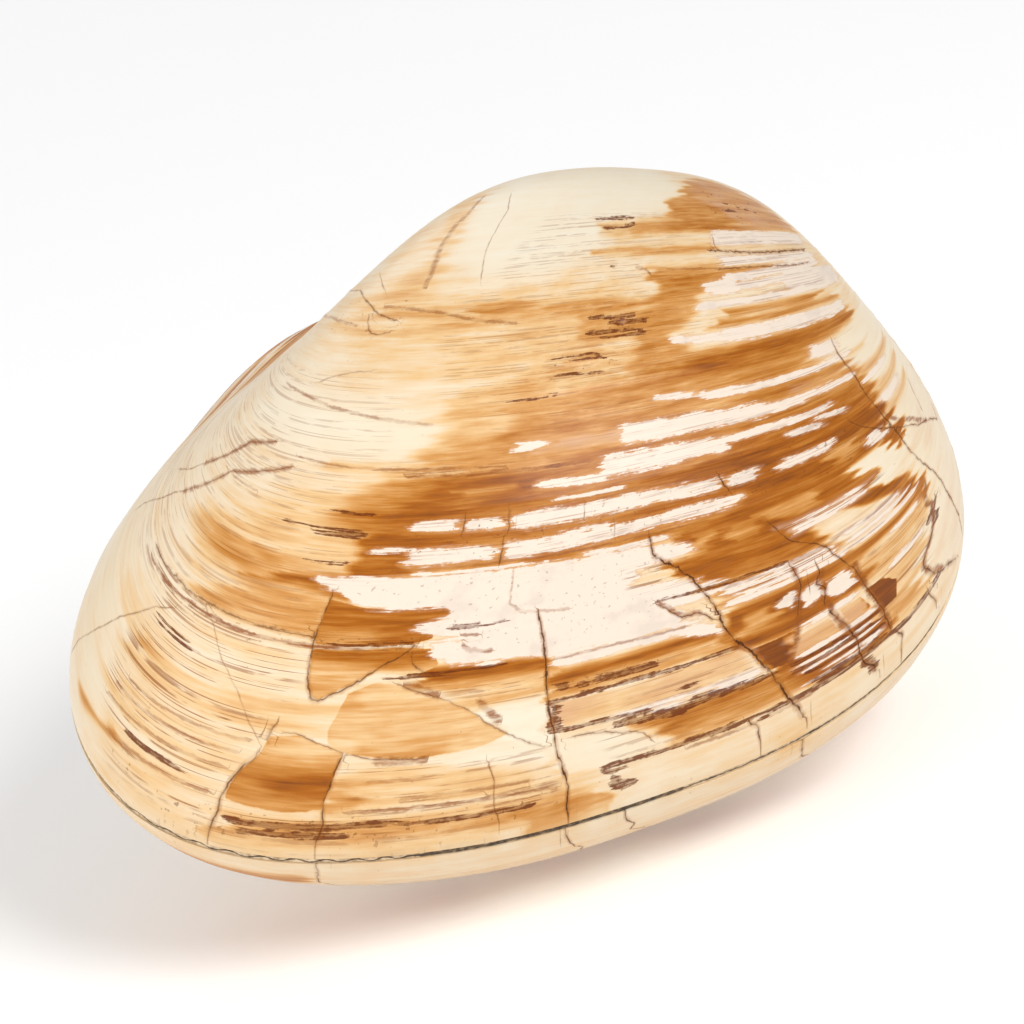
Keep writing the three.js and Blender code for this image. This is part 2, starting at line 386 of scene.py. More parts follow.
# %% [markdown]
# ## White windows
# Clear white calcite fills gaps in the amber. Long windows lie between two growth lines, so a band
# with a start, an end and a growth at each end says enough; the large window in the middle and the
# ones in the cracked corner are outlined.

# %% White bands: start angle, end angle, growth at start, growth at end, half width
WHITE_BANDS = [
    (255, 262, .6965, .698, .0040), (283, 308, .7005, .7035, .0085), (304, 322, .7035, .708, .0080),
    (318, 333, .7085, .711, .0048), (292, 305.3, .6705, .6765, .0026), (305.9, 326, .679, .6835, .0040),
    (322, 346, .683, .6865, .0036), (336, 343, .667, .669, .008), (330, 345, .7095, .7135, .0040),
    (278, 300, .7275, .7285, .0092), (296, 312, .7275, .731, .0072), (262, 280, .733, .736, .0034),
    (306, 338, .7265, .7305, .0034), (346, 356, .729, .731, .004), (266, 285, .7475, .749, .0016),
    (238, 246.6, .7585, .7595, .0040), (247.8, 255.8, .7605, .761, .0042), (257.6, 290, .7625, .7625, .0062),
    (286, 309.4, .7625, .7665, .0056), (311, 318, .767, .7685, .0052), (322.4, 334, .769, .7705, .0050),
    (238, 255.4, .7845, .785, .0060), (257, 283, .7855, .785, .0070), (281, 313, .785, .787, .0050),
    (231, 237, .7775, .7765, .0022), (240, 262, .798, .799, .0012), (274, 296, .8005, .803, .0022),
    (300, 318, .617, .6235, .0038), (314, 352, .622, .6255, .0075), (312, 322, .563, .566, .0080),
    (322, 336, .567, .565, .0050), (308, 352, .584, .587, .0040), (318, 352, .555, .548, .0050),
    (318, 352, .497, .500, .0110), (318, 352, .531, .536, .0055), (336, 358, .570, .576, .0160),
    (349, 358, .766, .768, .0060), (326, 334, .7415, .746, .0036), (333, 340, .737, .744, .0034),
    (342, 348, .792, .799, .0060), (323, 340, .8345, .8370, .0026), (323, 338, .8290, .8300, .0014),
    (306, 328, .8635, .8640, .0016), (307, 330, .8685, .8690, .0018), (308, 331, .8735, .8740, .0016),
    (309, 334, .8790, .8800, .0022), (322, 333, .8375, .838, .0020), (332, 345, .8630, .8660, .0026),
    (333, 347, .8720, .8740, .0024), (334, 349, .8795, .8815, .0022), (294, 309, .8535, .8555, .0022),
    (290, 306, .8620, .8640, .0024), (289, 301, .8455, .8475, .0022),
    (322.4, 333, .9240, .9245, .0026), (284, 314, .9420, .9440, .0018), (293, 300, .9475, .9480, .0016),
    (303, 314, .9475, .9485, .0016), (321, 335.4, .9480, .9485, .0020), (321, 336, .9560, .9565, .0015),
    (322, 336, .9615, .9625, .0015), (325, 336, .9680, .9695, .0016), (320, 334, .9722, .9730, .0010),
    (270.4, 300, .8865, .8875, .0036), (341, 349, .8955, .8960, .0024), (340, 349, .9230, .9240, .0028),
    (256, 260, .8770, .8770, .0016),
]

# %% White windows with an outline: softness, corners
WHITE_ZONES = [
    (0.9, [(224, .8012), (231, .801), (246, .8005), (268, .802), (286, .806), (300, .812), (304, .8205),
           (297, .823), (288, .826), (290, .83), (286, .836), (294, .844), (304, .849), (300, .861),
           (294, .864),
           (304, .879), (292, .883), (271, .8815), (268, .878), (258, .8735), (250, .874), (247, .866),
           (245, .856), (252, .853), (247, .8495), (242, .842), (249, .8345), (248, .826), (240, .827),
           (234, .8245), (231, .82), (229.5, .8115), (226, .8085)]),
    (0.9, [(296, .882), (303, .886), (308, .9015), (303, .897), (297, .890)]),
    (0.7, [(322.8, .9005), (323.8, .8935), (326, .8925), (327.4, .898), (326.8, .908), (324.2, .910)]),
    (0.7, [(327.4, .906), (328.6, .899), (331, .8965), (333.2, .9015), (333.0, .912), (330.6, .9165),
           (328, .9125)]),
    (0.7, [(318.4, .8965), (321.4, .891), (323, .896), (321, .9045)]),
]

# %% Rust and dark brown bands: start angle, end angle, growth at start, growth at end, half width
RUST_BANDS = [
    (248, 255, .8448, .8435, .0024), (254, 260, .8448, .8440, .0012),
    (271, 274, .9060, .9075, .0028), (275.4, 279, .9085, .9095, .0022), (279, 294, .9075, .9095, .0030),
    (270, 312, .9168, .9185, .0018), (272, 292, .9405, .9445, .0018), (284, 300, .9475, .9545, .0026),
    (290, 318, .9510, .9515, .0026), (286, 292, .9440, .9455, .0018), (300, 306, .9465, .9470, .0022),
    (298, 303, .9355, .9360, .0014), (284, 340, .9770, .9785, .0020), (338, 350, .9805, .9785, .0026),
    (320, 337, .9528, .9532, .0016), (320, 337, .9588, .9594, .0016), (322, 337, .9648, .9658, .0016),
    (322, 337, .9730, .9745, .0018), (313, 316, .9810, .9820, .0012),
    (272, 289, .4575, .4585, .0016), (278, 290, .4640, .4665, .0016), (274, 288, .4710, .4720, .0014),
    (278, 291, .5270, .5290, .0016),
    (272, 288, .5805, .5835, .0018), (278, 292, .5870, .5905, .0028), (272, 291, .5960, .5995, .0022),
    (276, 291, .6030, .6040, .0014), (262, 276, .6180, .6175, .0014), (276, 281, .6200, .6280, .0016),
    (264, 279, .6345, .6370, .0014), (266, 278, .6215, .6220, .0010), (251, 266, .6545, .6530, .0012),
    (230, 243, .8540, .8545, .0014), (238, 249, .8805, .8810, .0012), (222, 246, .9880, .9860, .0020),
    (224, 240, .9920, .9915, .0018), (246, 270, .9870, .9880, .0014), (216, 229, .7600, .7615, .0014),
    (221, 229, .7655, .7665, .0022), (221, 229, .7885, .7890, .0012), (223, 231, .7460, .7475, .0012),
    (202, 210, .8815, .8818, .0014), (202, 210, .8855, .8850, .0012), (205, 217, .9670, .9675, .0018),
    (264, 268, .7175, .7185, .0016), (243, 262, .8795, .8800, .0010), (293, 322, .8570, .8610, .0016),
    (326, 340, .4300, .4500, .0014), (322, 330, .4450, .4480, .0014),
]
RUST_ZONES = [
    (0.8, [(270.4, .9185), (273, .921), (272.6, .9275), (274, .93), (274.8, .9385), (272, .941),
           (271.4, .934)]),
    (0.8, [(283.6, .978), (289, .981), (285.8, .9838), (290, .9908), (287.5, .995), (285.0, .9885)]),
    (0.8, [(331.4, .9795), (334.2, .981), (333.6, .984), (335.6, .991), (334.4, .994), (332.4, .986)]),
    (0.8, [(351, .917), (354.6, .919), (353.4, .927), (353, .938), (350.4, .936), (350.8, .926)]),
]
print(len(WHITE_BANDS) + len(WHITE_ZONES), "white windows,", len(RUST_BANDS) + len(RUST_ZONES), "rust marks")

# %% [markdown]
# ## Cracks and thin streaks
# The shell cracked while it was buried, and minerals healed the cracks. A crack is far thinner than
# the mesh, so each vertex stores how far it is from the nearest crack, with a sign for its side. The
# sign changes exactly on the crack, and the shader draws a crisp line there.

# %% Cracks: width in mm, strength, corners as (angle, growth)
CRACKS = [
    (0.24, 1.0, [(266, .843), (267, .853), (268.4, .872), (269, .886), (269.6, .905), (270.6, .922),
                 (272, .94), (273.4, .958), (275, .972), (276, .983), (276.2, .996)]),
    (0.26, 1.0, [(291.6, .80), (292.4, .816), (297, .829), (301, .843), (303, .855), (305, .868),
                 (307, .884), (308.2, .90), (310, .912), (313, .926), (315, .94), (317, .956),
                 (318.2, .968), (320, .981), (321.6, .992)]),
    (0.16, 0.8, [(293.5, .859), (296, .867), (298.6, .876), (303, .878), (306, .888)]),
    (0.16, 0.8, [(342.6, .665), (342.8, .68), (344, .70), (345.2, .72), (345.6, .74), (347.4, .77),
                 (350, .815), (351.4, .848), (353.6, .877), (355.6, .90), (356.6, .92), (357.4, .945),
                 (358.6, .975), (359, .99)]),
    (0.16, 0.7, [(340, .76), (342, .773), (345, .785), (350, .806), (354, .824), (357, .841), (360, .855),
                 (363, .875), (366, .90)]),
    (0.12, 0.6, [(361.5, .80), (361, .815), (360.6, .84)]),
    (0.16, 0.75, [(318.6, .818), (320.6, .832), (322.6, .845), (327, .857), (329, .866), (330.6, .88),
                 (333, .898), (334.2, .915), (335.6, .935), (336.8, .95), (338, .975)]),
    (0.16, 0.8, [(322, .868), (323, .88), (323.4, .89), (322.6, .90), (322, .912)]),
    (0.16, 0.8, [(326.8, .878), (327, .886), (326, .894), (327.6, .902), (327, .914)]),
    (0.22, 0.9, [(328, .926), (329.4, .938), (331, .952), (332, .965), (332.2, .98), (334.6, .993)]),
    (0.22, 0.8, [(353, .92), (350.4, .938), (347.4, .948), (346.2, .955), (347.6, .966), (349, .977),
                 (352, .984), (354.6, .992)]),
    (0.18, 0.8, [(312, .98), (313.4, .985), (313.8, .995)]),
    (0.18, 0.8, [(339, .981), (340, .986), (339.6, .995)]),
    (0.16, 0.7, [(346.4, .981), (347.6, .993)]),
    (0.2, 0.9, [(309, .76), (309.8, .768), (311, .776)]),
    (0.12, 0.6, [(274.6, .758), (274.8, .768)]),
    (0.12, 0.5, [(282.6, .779), (282.8, .79)]),
    (0.26, 0.7, [(256.2, .777), (256.4, .784), (256.2, .791)]),
    (0.18, 0.7, [(247.2, .754), (247.4, .764)]),
    (0.22, 0.7, [(256.6, .753), (257, .766)]),
    (0.18, 0.75, [(227.8, .815), (227.4, .83), (227.2, .845), (227.4, .862), (227.8, .876), (228.6, .89),
                 (230, .9), (233, .891), (235.4, .883), (237.6, .874), (241, .864), (243, .856)]),
    (0.14, 0.7, [(242.8, .864), (243.4, .871), (246, .879)]),
    (0.12, 0.55, [(241.6, .886), (244.6, .892), (248, .897), (251, .903), (255, .912), (259, .925),
                 (263, .935), (267, .944), (270, .949)]),
    (0.2, 0.8, [(225.6, .921), (225.2, .932), (224.4, .944), (223, .955), (222, .966), (221.4, .976),
                (221.6, .984), (221, .994)]),
    (0.2, 0.8, [(236, .937), (235.6, .948), (235.2, .96), (234.8, .972), (235.4, .984), (235, .994)]),
    (0.10, 0.6, [(227, .9245), (229, .924), (232, .93), (236, .937), (240, .942), (248, .9445)]),
    (0.12, 0.6, [(276, .948), (280, .949), (285, .954), (291, .96), (293, .968)]),
    (0.12, 0.6, [(260, .955), (261.4, .966), (262, .984), (263, .992)]),
    (0.12, 0.5, [(212.5, .7155), (206, .73), (200, .743), (195.4, .77), (190, .80), (187, .815),
                 (183.4, .841), (180.4, .86), (177, .885), (175, .905)]),
    (0.12, 0.5, [(206.5, .699), (200, .711), (195.4, .738), (190, .765), (185, .795), (180.6, .815)]),
    (0.10, 0.5, [(204, .868), (200.6, .88), (198, .897), (195, .915), (192, .94), (189.6, .96),
                 (187, .98), (186, .992)]),
    (0.08, 0.35, [(209, .848), (212, .86), (215, .88), (219, .90), (222, .92), (225, .938)]),
    (0.14, 0.7, [(202, .524), (205, .532), (208, .54), (211, .547), (214, .556), (220, .566)]),
    (0.14, 0.7, [(212, .56), (213.4, .57), (215.2, .579), (217.4, .5805), (219.6, .578)]),
    (0.10, 0.5, [(205, .50), (209, .515), (212, .527)]),
    (0.12, 0.5, [(160, .558), (166, .538), (172, .5245), (180, .523), (192, .523), (202, .5245)]),
    (0.12, 0.4, [(209, .633), (212, .625), (216, .62), (220, .618)]),
    (0.12, 0.5, [(234, .395), (236.6, .43), (235.6, .47), (235.4, .49), (237, .525)]),
    (0.26, 0.9, [(316, .5145), (322, .518), (330, .523), (340, .5245), (349, .525)]),
    (0.2, 0.7, [(318, .541), (330, .544), (340, .548), (347, .549)]),
    (0.14, 0.7, [(318, .498), (318.2, .515)]),
    (0.18, 0.6, [(193, .8505), (200, .848), (206, .847), (214, .8465), (226, .849)]),
]

# %% Thin brown streaks along the growth lines: width in mm, strength, corners
STREAKS = [
    (1.9, 0.75, [(223.4, .385), (223.6, .42), (221.6, .445), (221.4, .475), (222.8, .50), (223.6, .53)]),
    (0.6, 0.8, [(212.5, .7155), (206, .73), (200, .743), (195.4, .77), (190, .80)]),
    (0.6, 0.8, [(206.5, .699), (200, .711), (195.4, .738), (190, .765)]),
    (0.7, 1.0, [(352, .895), (350.4, .908), (352, .918), (351, .935), (347.6, .948), (346.2, .956),
                (347.6, .968), (350, .977)]),
    (0.8, 1.0, [(256.4, .906), (258.4, .914), (261, .924)]),
    (0.7, 0.9, [(243, .887), (246, .892), (249, .898)]),
    (0.7, 0.9, [(241, .9435), (245, .945), (249, .9455)]),
    (0.8, 1.0, [(327.9, .918), (328.6, .93), (330, .945), (331.6, .96)]),
    (0.8, 1.0, [(322.6, .90), (322.2, .915), (321.6, .93), (320, .948)]),
    (0.9, 1.0, [(327.3, .886), (326.6, .894), (327.5, .903), (327.2, .915)]),
    (0.9, 1.0, [(322.2, .872), (323, .884), (322.6, .896), (322, .906)]),
    (0.8, 1.0, [(333.6, .898), (334.2, .915), (335.6, .935), (336.8, .95), (338, .972)]),
    (0.5, 0.9, [(294, .859), (297, .868), (299, .876), (303, .878)]),
    (0.5, 0.9, [(348, .77), (349, .785), (351.4, .803), (355, .82), (358, .84), (360, .856)]),
    (0.3, 0.7, [(199, .645), (206, .648), (216, .656), (228, .665), (236, .67)]),
    (0.35, 0.7, [(215, .548), (225, .555), (231, .561), (238, .570), (250, .578)]),
    (0.35, 0.6, [(160, .604), (168, .588), (176, .574), (186, .565), (198, .563), (210, .57)]),
    (0.35, 1.0, [(193, .860), (200, .857), (208, .8545), (222, .856), (243, .857)]),
    (0.25, 0.7, [(213, .705), (226, .708), (240, .7095), (254, .7125)]),
    (0.3, 0.9, [(234, .7155), (248, .7165), (262, .718), (276, .7185)]),
    (0.25, 0.7, [(268, .883), (285, .8835), (300, .886)]),
    (0.25, 0.8, [(251, .8515), (254.4, .852)]),
    (0.35, 1.0, [(251.6, .859), (253, .864), (255.4, .866), (257.4, .8665)]),
    (0.35, 0.9, [(289, .5275), (292, .5305), (294, .5385)]),
    (0.3, 0.5, [(259.4, .805), (259.6, .83), (262, .838), (268, .842), (273, .8435)]),
    (0.3, 0.6, [(300, .534), (312, .538), (324, .543)]),
    (0.25, 0.8, [(238, .978), (250, .9775), (266, .979), (274, .981)]),
    (0.25, 0.6, [(246, .9715), (256, .971), (268, .972)]),
    (0.25, 0.7, [(300, .982), (312, .9825), (324, .981)]),
    (0.25, 0.6, [(236, .795), (256, .7945), (276, .796), (300, .797)]),
    (0.25, 0.6, [(198, .745), (208, .7445)]),
    (0.25, 0.7, [(203, .937), (212, .935), (223, .934)]),
    (0.25, 0.7, [(201, .948), (210, .945), (222, .944)]),
    (0.25, 0.7, [(200, .960), (208, .957), (221, .956)]),
    (0.25, 0.7, [(203, .976), (212, .975), (220, .975)]),
]

# %% Milky zones, fine growth lines and specks: strength, softness, corners
MILK_ZONES = [
    (0.55, 1.5, [(316, .36), (350, .36), (354, .484), (330, .484), (324, .45), (314, .42)]),
    (0.45, 1.5, [(347, .712), (364, .714), (364, .728), (347, .727)]),
    (0.45, 1.5, [(348, .741), (364, .742), (364, .760), (348, .760)]),
    (0.45, 1.5, [(350, .774), (364, .776), (364, .792), (350, .792)]),
    (0.45, 1.0, [(270, .918), (314, .919), (316, .94), (272, .94)]),
    (0.8, 1.0, [(262, .694), (285, .695), (285, .706), (262, .705)]),
    (0.5, 1.0, [(330, .692), (346, .694), (347, .707), (332, .706)]),
    (0.5, 0.8, [(320, .929), (335, .929), (336, .947), (319, .948)]),
    (0.8, 1.0, [(320, .825), (340, .826), (342, .842), (322, .842)]),
    (0.3, 3.0, [(353, .80), (372, .78), (372, .99), (351, .99), (350, .95), (356, .92)]),
]
LINE_ZONES = [
    (1.0, 2.0, [(200, .858), (228, .858), (226, .90), (221, .97), (221, .995), (205, .99), (198, .95)]),
    (0.9, 1.5, [(221, .974), (274, .972), (274, .994), (221, .997)]),
    (0.9, 1.5, [(304, .858), (345, .858), (350, .89), (306, .885)]),
    (1.0, 1.2, [(285, .822), (300, .822), (301, .848), (287, .842)]),
    (0.8, 1.5, [(245, .885), (270, .887), (270, .914), (256, .91)]),
    (0.9, 1.2, [(336, .89), (350, .895), (348, .96), (338, .955)]),
    (0.5, 2.0, [(230, .57), (290, .58), (292, .65), (250, .68), (236, .64)]),
    (0.55, 2.0, [(262, .66), (346, .68), (350, .80), (262, .80)]),
    (0.5, 2.0, [(230, .70), (262, .70), (262, .80), (230, .80)]),
    (0.6, 1.2, [(270, .903), (312, .904), (322, .975), (286, .975)]),
    (0.5, 2.0, [(150, .62), (228, .62), (228, .85), (150, .90)]),
    (1.0, 1.0, [(320, .824), (342, .826), (344, .842), (322, .842)]),
    (0.9, 1.0, [(190, .844), (244, .846), (244, .862), (190, .868)]),
    (0.7, 1.5, [(236, .945), (272, .95), (274, .975), (236, .977)]),
    (0.5, 2.0, [(252, .45), (300, .45), (350, .50), (350, .66), (262, .66), (230, .58)]),
]
SPECK_ZONES = [
    (0.55, 1.5, [(228, .80), (300, .81), (300, .86), (268, .878), (246, .85), (246, .826), (232, .82)]),
    (1.0, 1.0, [(236, .755), (258, .755), (258, .792), (236, .793)]),
    (0.7, 1.5, [(258, .755), (312, .758), (312, .79), (258, .792)]),
    (1.0, 1.0, [(270, .903), (296, .905), (296, .914), (270, .914)]),
    (1.0, 1.2, [(272, .578), (292, .582), (292, .603), (272, .60)]),
    (0.9, 1.2, [(262, .616), (280, .618), (280, .64), (262, .638)]),
    (0.9, 2.0, [(200, .53), (222, .535), (222, .58), (200, .58)]),
    (1.0, 2.0, [(320, .40), (345, .42), (350, .48), (320, .48)]),
    (0.8, 1.5, [(204, .978), (274, .978), (274, .998), (204, .998)]),
    (0.8, 1.0, [(312, .73), (348, .73), (350, .80), (312, .80)]),
    (0.7, 1.0, [(195, .843), (244, .845), (244, .862), (195, .864)]),
]
UPPER_MARKS = {
    "washes": WASHES, "plates": PLATES, "plate_washes": PLATE_WASHES,
    "white_bands": WHITE_BANDS, "white_zones": WHITE_ZONES,
    "rust_bands": RUST_BANDS, "rust_zones": RUST_ZONES,
    "cracks": CRACKS, "streaks": STREAKS,
    "milk": MILK_ZONES, "lines": LINE_ZONES, "specks": SPECK_ZONES,
}
print(len(CRACKS), "cracks and", len(STREAKS), "streaks")

# %% [markdown]
# ## The sides that the photograph doesn't show
# The lower valve and the back of the upper one are the same stone, so they get bands of the same
# kinds, drawn from a seeded random generator: wide tan washes, white windows and thin rust lines.

# %% Scattered bands
HIDDEN_WHITE = {"count": 16, "half": (.002, .007)}
HIDDEN_RUST = {"count": 12, "half": (.0014, .0024)}


def scattered_bands(draw, count, half, first, last, low, high):
    bands = []
    for _ in range(count):
        start = draw.uniform(first, last - 12)
        end = min(last, start + draw.uniform(12, 45))
        growth = draw.uniform(low, high)
        bands.append((start, end, growth, growth + draw.uniform(-.006, .006), draw.uniform(*half)))
    return bands


def scattered_washes(draw, count, first, last, low, high):
    washes = []
    for start, end, g0, g1, half in scattered_bands(draw, count, (.008, .03), first, last, low, high):
        corners = [(start, g0 - half), (end, g1 - half), (end + 6, g1 + half), (start - 6, g0 + half)]
        washes.append((draw.uniform(0.3, 1.0), 2.0, corners))
    return washes


def scattered_marks(seed, first, last, low, high):
    draw = np.random.RandomState(seed)
    reach = (first, last, low, high)
    return {
        "washes": scattered_washes(draw, 16, *reach), "plates": [], "plate_washes": [],
        "white_bands": scattered_bands(draw, *HIDDEN_WHITE.values(), *reach), "white_zones": [],
        "rust_bands": scattered_bands(draw, *HIDDEN_RUST.values(), *reach), "rust_zones": [],
        "cracks": [], "streaks": [], "milk": [],
        "lines": [(0.6, 2.0, [(first, low), (last, low), (last, high), (first, high)])],
        "specks": [],
    }


def joined(*many):
    return {kind: [mark for marks in many for mark in marks[kind]] for kind in many[0]}


LOWER_CRACKS = [
    (0.2, 0.9, [(276.2, .999), (277, .985), (279, .965), (278, .94), (280, .90), (284, .86)]),
    (0.18, 0.8, [(288, .999), (290, .988), (289, .975), (292, .96)]),
    (0.18, 0.8, [(321.6, .999), (322.4, .98), (325, .955), (324, .92), (327, .88)]),
    (0.16, 0.7, [(235, .998), (234, .98), (236, .95), (233, .91)]),
    (0.14, 0.7, [(208, .97), (214, .94), (216, .90), (222, .86)]),
]
UPPER_MARKS = joined(UPPER_MARKS, scattered_marks(5, 374, 446, .35, .97),
                     scattered_marks(8, 92, 158, .35, .97))
LOWER_MARKS = joined(scattered_marks(11, 180, 300, .30, .93), scattered_marks(13, 250, 446, .35, .93),
                     scattered_marks(17, 92, 200, .35, .95))
LOWER_MARKS["cracks"] = LOWER_CRACKS
LOWER_MARKS["washes"].append((0.65, 1.5, [(205, .955), (232, .955), (233, .99), (206, .985)]))
print(len(LOWER_MARKS["washes"]), "washes on the lower valve")

# %% [markdown]
# ## Relief
# The polish left the shell smooth but for a few places: shallow pits where soft grains tore out,
# and growth ledges that can just be felt. They are moved into the mesh along its normals.

# %% Pits: angle, growth, half length in degrees, half width in growth, depth in mm
PITS = [
    (281, .470, 9, .010, .22), (287, .532, 8, .008, .28), (283, .590, 9, .009, .30),
    (271, .629, 9, .008, .22), (211, .556, 9, .022, .16), (333, .445, 8, .03, .18),
    (335, .523, 14, .004, .25), (224, .764, 6, .006, .16), (282, .907, 12, .004, .20),
    (330, .962, 8, .010, .15), (198, .854, 5, .006, .15),
]
LEDGES = [(.523, .004, .10), (.566, .004, .08), (.648, .004, .07), (.705, .003, .08), (.745, .003, .05),
          (.797, .003, .06), (.8545, .003, .10), (.883, .002, .05), (.917, .002, .08), (.9775, .002, .10)]
PIT_GRAIN = 1.4


def relief(angle, growth, points):
    height = np.zeros(len(angle))
    for middle, width, rise in LEDGES:
        height += rise * np.exp(-(((growth - middle) / width) ** 2))
    for pit_angle, pit_growth, long, wide, depth in PITS:
        away = np.hypot((angle - pit_angle) / long, (growth - pit_growth) / wide)
        grain = np.array([noise.noise(Vector(p) * PIT_GRAIN) for p in points[away < 1]])
        height[away < 1] -= depth * (1 - soft_step(away[away < 1])) * (0.6 + grain)
    return height


def surface_normals(angle, growth):
    step = 1e-3
    inner = np.minimum(growth, 1 - 2 * step)
    around = growth_point(angle + step, inner) - growth_point(angle - step, inner)
    out = growth_point(angle, inner + step) - growth_point(angle, inner - step)
    normal = np.cross(out, around)
    return normal / np.linalg.norm(normal, axis=1, keepdims=True)


# %% [markdown]
# ## Growing a valve
# A flat grid is the sheet that is rolled into the valve: its columns become angles and its rows
# become growth. The columns are closest together on the side that the camera sees. The two long
# edges of the sheet meet behind the hinge and are merged there, then the open margin is extruded in
# under the shell to make the groove and the flat land, and the holes are filled.

# %% Spacing of columns and rows, and the edge under the margin
COLUMN_SHARE = [0.0, 0.10, 0.92, 1.0]
COLUMN_ANGLE = [90.0, 165.0, 366.0, 450.0]
ROW_SHARE = [0.0, 0.05, 0.10, 0.23, 0.90, 0.95, 0.975, 0.99, 1.0]
ROW_GROWTH = [BEAK_GROWTH, 0.20, 0.36, 0.55, 0.977, 0.9945, 0.9985, 0.9997, 1.0]
GROOVE_WALL = 0.08
LAND_GAP = 0.2
RELIEF_FADE = 0.01
MERGE_REACH = 0.002
SHARP_EDGE = math.radians(50)


def boundary_at(bm, growth_layer, low, high):
    return [e for e in bm.edges if e.is_boundary and low < e.verts[0][growth_layer] <= high]


def grow_valve(name, side, columns, rows):
    bm = bmesh.new()
    angle_layer = bm.verts.layers.float.new("angle")
    growth_layer = bm.verts.layers.float.new("growth")
    bmesh.ops.create_grid(bm, x_segments=columns, y_segments=rows, size=0.5)
    sheet = np.array([v.co[:2] for v in bm.verts]) + 0.5
    angle = np.interp(sheet[:, 0], COLUMN_SHARE, COLUMN_ANGLE)
    growth = np.interp(sheet[:, 1], ROW_SHARE, ROW_GROWTH)
    points = growth_point(angle, growth)
    rise = relief(angle, growth, points) * soft_step((1 - growth) / RELIEF_FADE)
    points += surface_normals(angle, growth) * rise[:, None]
    for v, place, a, g in zip(bm.verts, lie_down(points, side), angle, growth):
        v.co = place
        v[angle_layer] = a
        v[growth_layer] = g
    bmesh.ops.remove_doubles(bm, verts=bm.verts, dist=MERGE_REACH * MM)
    margin = boundary_at(bm, growth_layer, 0.99, 1.0)
    for inset, height in ((GROOVE_WALL, GROOVE_HEIGHT / 2), (GROOVE_WALL, LAND_GAP / 2)):
        made = bmesh.ops.extrude_edge_only(bm, edges=margin)["geom"]
        for v in (x for x in made if isinstance(x, bmesh.types.BMVert)):
            x, y = margin_point(np.array(v[angle_layer]), inset)
            v.co = lie_down(np.array([float(x), float(y), height]), side)
        margin = [x for x in made if isinstance(x, bmesh.types.BMEdge) and x.is_boundary]
    bmesh.ops.edgeloop_fill(bm, edges=margin)
    beak = boundary_at(bm, growth_layer, 0.0, 0.1)
    cap = bmesh.ops.edgeloop_fill(bm, edges=beak)["faces"]
    bmesh.ops.poke(bm, faces=cap)
    for v in bm.verts:
        v.co.z = max(v.co.z, 0.0)
    bmesh.ops.recalc_face_normals(bm, faces=bm.faces)
    for face in bm.faces:
        face.smooth = True
    mesh = bpy.data.meshes.new(name)
    bm.to_mesh(mesh)
    bm.free()
    mesh.set_sharp_from_angle(angle=SHARP_EDGE)
    valve = bpy.data.objects.new(name, mesh)
    bpy.context.scene.collection.objects.link(valve)
    triangles = sum(len(p.vertices) - 2 for p in mesh.polygons)
    print(name, len(mesh.vertices), "vertices,", triangles, "triangles")
    return valve


# %% Upper and lower valve
upper = grow_valve("fossil_upper_valve", 1, columns=300, rows=300)
lower = grow_valve("fossil_lower_valve", -1, columns=240, rows=180)

# %% [markdown]
# ## Painting the marks onto a valve
# The strokes become attributes on the vertices, one float for each kind of mark. Each growth line
# carries a stain a little further or less far than its neighbour, so the washes and windows are
# feathered: the angle at which they are read is shifted by a noise that changes with growth. The
# grain attribute is the place along the ring and across it, and it drives every noise of the shader.

# %% Paint
RING_RADIUS = 55.0
RUST_END = 3.0
FEATHER_REACH = 5.5
FEATHER_RINGS = 150.0
FEATHER_DRIFT = 0.05
FEATHER_SEED = 3.7
CRACK_REACH = 1.7
STREAK_REACH = 0.9


def strongest(angle, growth, zones):
    found = np.zeros(len(angle))
    for strength, soft, corners in zones:
        found = np.maximum(found, strength * zone_mask(angle, growth, corners, soft))
    return found


def washed(angle, growth, washes):
    tone = np.full(len(angle), GROUND_TONE)
    for value, soft, corners in washes:
        mask = zone_mask(angle, growth, corners, soft)
        tone = tone * (1 - mask) + value * mask
    return tone


def cut_marks(angle, growth, bands, zones, end_blur):
    found = np.zeros(len(angle))
    for band in bands:
        found = np.maximum(found, band_mask(angle, growth, *band, end_blur=end_blur))
    for soft, corners in zones:
        found = np.maximum(found, zone_mask(angle, growth, corners, soft))
    return found


def feather(angle, growth):
    shift = []
    for a, g in zip(angle, growth):
        place = Vector((a * FEATHER_DRIFT, FEATHER_SEED, g * FEATHER_RINGS))
        shift.append(noise.noise(place))
    return FEATHER_REACH * np.array(shift)


def mark_fields(angle, growth, marks):
    crack_side, crack_near = line_fields(angle, growth, marks["cracks"], CRACK_REACH)
    streak_side, streak_near = line_fields(angle, growth, marks["streaks"], STREAK_REACH)
    plate_side = np.full(len(angle), -3.0)
    for outline in marks["plates"]:
        plate_side = np.maximum(plate_side, depth_inside(angle, growth, outline, 3.0))
    shift = feather(angle, growth)
    frayed = angle + shift
    tucked = angle + 0.35 * shift
    return {
        "tone": washed(frayed, growth, marks["washes"]),
        "plate_tone": washed(tucked, growth, marks["plate_washes"]),
        "plate_side": plate_side,
        "white": cut_marks(tucked, growth, marks["white_bands"], marks["white_zones"], BAND_END),
        "rust": cut_marks(tucked, growth, marks["rust_bands"], marks["rust_zones"], RUST_END),
        "crack_side": crack_side, "crack_near": crack_near,
        "streak_side": streak_side, "streak_near": streak_near,
        "milk": strongest(frayed, growth, marks["milk"]),
        "lines": strongest(angle, growth, marks["lines"]),
        "specks": strongest(angle, growth, marks["specks"]),
    }


def read_float(mesh, name):
    values = np.zeros(len(mesh.vertices), np.float32)
    mesh.attributes[name].data.foreach_get("value", values)
    return values.astype(float)


